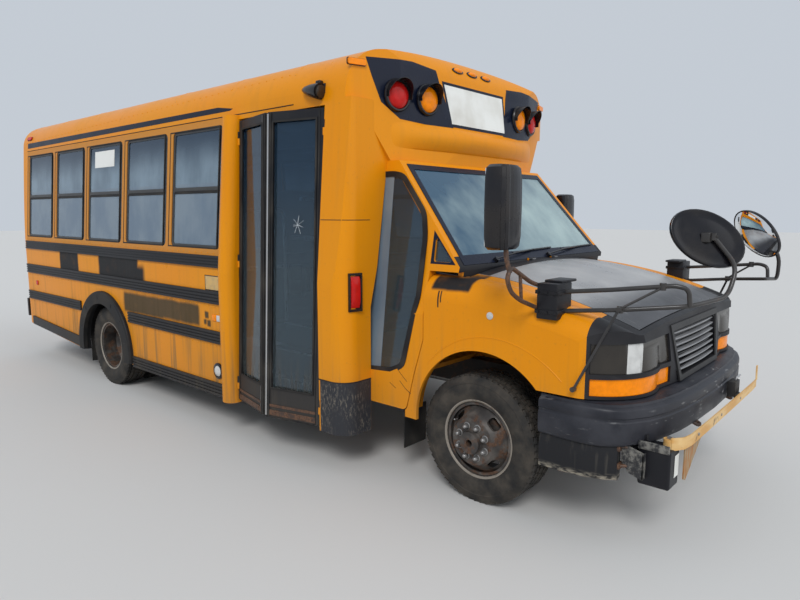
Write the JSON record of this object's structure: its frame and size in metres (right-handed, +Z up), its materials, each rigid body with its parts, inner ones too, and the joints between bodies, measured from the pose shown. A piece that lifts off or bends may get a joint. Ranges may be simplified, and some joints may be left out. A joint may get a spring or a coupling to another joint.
{
  "type": "school bus",
  "caption": "Short conventional-nosed school bus with a van cab, folding curb door, rear emergency door, stop arm and bumper crossing arm.",
  "frame": {"origin": "centre of the whole vehicle's footprint box, on the ground", "axes": "+X forwards, +Y to the vehicle's left, +Z up"},
  "size_m": [7.3318, 2.716, 2.7165],
  "materials": {
    "body_yellow": "aged gloss",
    "black_paint": "satin",
    "hood_black": "sun-faded satin",
    "black_rubber": "matt",
    "tyre": "matt",
    "wheel_paint": "rusty",
    "glass": "clear",
    "window_frame": "dark anodised",
    "lamp_lens": "gloss",
    "head_lamp": "gloss",
    "black_plastic": "matt",
    "grey_plastic": "matt",
    "seat_vinyl": "satin",
    "floor_rubber": "matt",
    "chassis": "rusty matt",
    "castings": "rusty",
    "steel": "dull",
    "sign_red": "gloss"
  },
  "bodies": {
    "body": {"arm_motors": "black_plastic", "body_side_left": "body_yellow", "body_side_right": "body_yellow", "cab_panel_right": "body_yellow", "cab_shell": "body_yellow", "dashboard": "grey_plastic", "driver_seat": "seat_vinyl", "driveshaft": "steel", "engine": "castings", "entrance_frame": "body_yellow", "exhaust": "steel", "fenders": "body_yellow", "fixed_glass": "glass", "floor": "floor_rubber", "frame": "chassis", "front_bumper": "black_plastic", "front_cap": "body_yellow", "front_lamps": "head_lamp", "front_suspension": "castings", "fuel_tank": "chassis", "grille": "black_plastic", "leaf_springs": "chassis", "mirrors": "black_plastic", "passenger_seats": "seat_vinyl", "rear_axle": "castings", "rear_bumper": "black_paint", "rear_wall": "body_yellow", "roof": "body_yellow", "rub_rails": "black_paint", "rubber_guards": "black_rubber", "signal_lamps": "lamp_lens", "steering_wheel": "black_plastic", "stepwell": "chassis", "window_frames": "window_frame"},
    "knuckle_left": {"knuckle_left": "castings"},
    "knuckle_right": {"knuckle_right": "castings"},
    "wheel_front_left": {"front_rim_left": "wheel_paint", "front_tyre_left": "tyre"},
    "wheel_front_right": {"front_rim_right": "wheel_paint", "front_tyre_right": "tyre"},
    "wheels_rear_left": {"rear_rims_left": "wheel_paint", "rear_tyres_left": "tyre"},
    "wheels_rear_right": {"rear_rims_right": "wheel_paint", "rear_tyres_right": "tyre"},
    "driver_door": {"driver_door": "body_yellow", "driver_door_glass": "glass", "door_mirror": "black_plastic"},
    "hood": {"hood": "hood_black"},
    "entrance_leaf_front": {"entrance_leaf_front": "black_paint", "entrance_glass_front": "glass"},
    "entrance_leaf_rear": {"entrance_leaf_rear": "black_paint", "entrance_glass_rear": "glass"},
    "rear_door": {"rear_door": "body_yellow", "rear_door_glass": "glass"},
    "crossing_arm": {"crossing_arm": "body_yellow"},
    "stop_arm": {"stop_arm": "sign_red"},
    "roof_hatch": {"roof_hatch": "body_yellow"}
  },
  "joints": [
    {"name": "steer_left", "type": "hinge", "parent": "body", "child": "knuckle_left", "pos_m": [2.50909, 0.69, 0.37], "axis": [0, 0, 1], "range_deg": [-32, 32]},
    {"name": "steer_right", "type": "hinge", "parent": "body", "child": "knuckle_right", "pos_m": [2.50909, -0.69, 0.37], "axis": [0, 0, 1], "range_deg": [-32, 32]},
    {"name": "spin_front_left", "type": "hinge", "parent": "knuckle_left", "child": "wheel_front_left", "pos_m": [2.50909, 0.852, 0.37], "axis": [0, 1, 0], "continuous": true},
    {"name": "spin_front_right", "type": "hinge", "parent": "knuckle_right", "child": "wheel_front_right", "pos_m": [2.50909, -0.852, 0.37], "axis": [0, 1, 0], "continuous": true},
    {"name": "spin_rear_left", "type": "hinge", "parent": "body", "child": "wheels_rear_left", "pos_m": [-1.52991, 0.954, 0.37], "axis": [0, 1, 0], "continuous": true},
    {"name": "spin_rear_right", "type": "hinge", "parent": "body", "child": "wheels_rear_right", "pos_m": [-1.52991, -0.954, 0.37], "axis": [0, 1, 0], "continuous": true},
    {"name": "driver_door_swing", "type": "hinge", "parent": "body", "child": "driver_door", "pos_m": [2.16059, 1.006, 0.975], "axis": [0, 0, -1], "range_deg": [0, 70]},
    {"name": "hood_lift", "type": "hinge", "parent": "body", "child": "hood", "pos_m": [2.36909, 0, 1.336], "axis": [0, -1, 0], "range_deg": [0, 50]},
    {"name": "entrance_front_swing", "type": "hinge", "parent": "body", "child": "entrance_leaf_front", "pos_m": [1.50609, -1.239, 0.292], "axis": [0, 0.0424, 0.9991], "range_deg": [0, 70]},
    {"name": "entrance_rear_swing", "type": "hinge", "parent": "body", "child": "entrance_leaf_rear", "pos_m": [0.62709, -1.239, 0.292], "axis": [0, -0.0424, -0.9991], "range_deg": [0, 70]},
    {"name": "rear_door_swing", "type": "hinge", "parent": "body", "child": "rear_door", "pos_m": [-3.57591, -0.4165, 1.46], "axis": [0, 0, 1], "range_deg": [0, 110]},
    {"name": "crossing_arm_swing", "type": "hinge", "parent": "body", "child": "crossing_arm", "pos_m": [3.49409, -0.8, 0.556], "axis": [0, 0, -1], "range_deg": [0, 90]},
    {"name": "stop_arm_swing", "type": "hinge", "parent": "body", "child": "stop_arm", "pos_m": [0.92009, 1.279, 1.14], "axis": [0, 0, -1], "range_deg": [0, 90]},
    {"name": "roof_hatch_lift", "type": "hinge", "parent": "body", "child": "roof_hatch", "pos_m": [-0.66091, 0, 2.6613], "axis": [0, 1, 0], "range_deg": [0, 40]}
  ],
  "couplings": [
    {"joint": "steer_right", "follows": "steer_left", "ratio": 1},
    {"joint": "entrance_rear_swing", "follows": "entrance_front_swing", "ratio": 1}
  ]
}
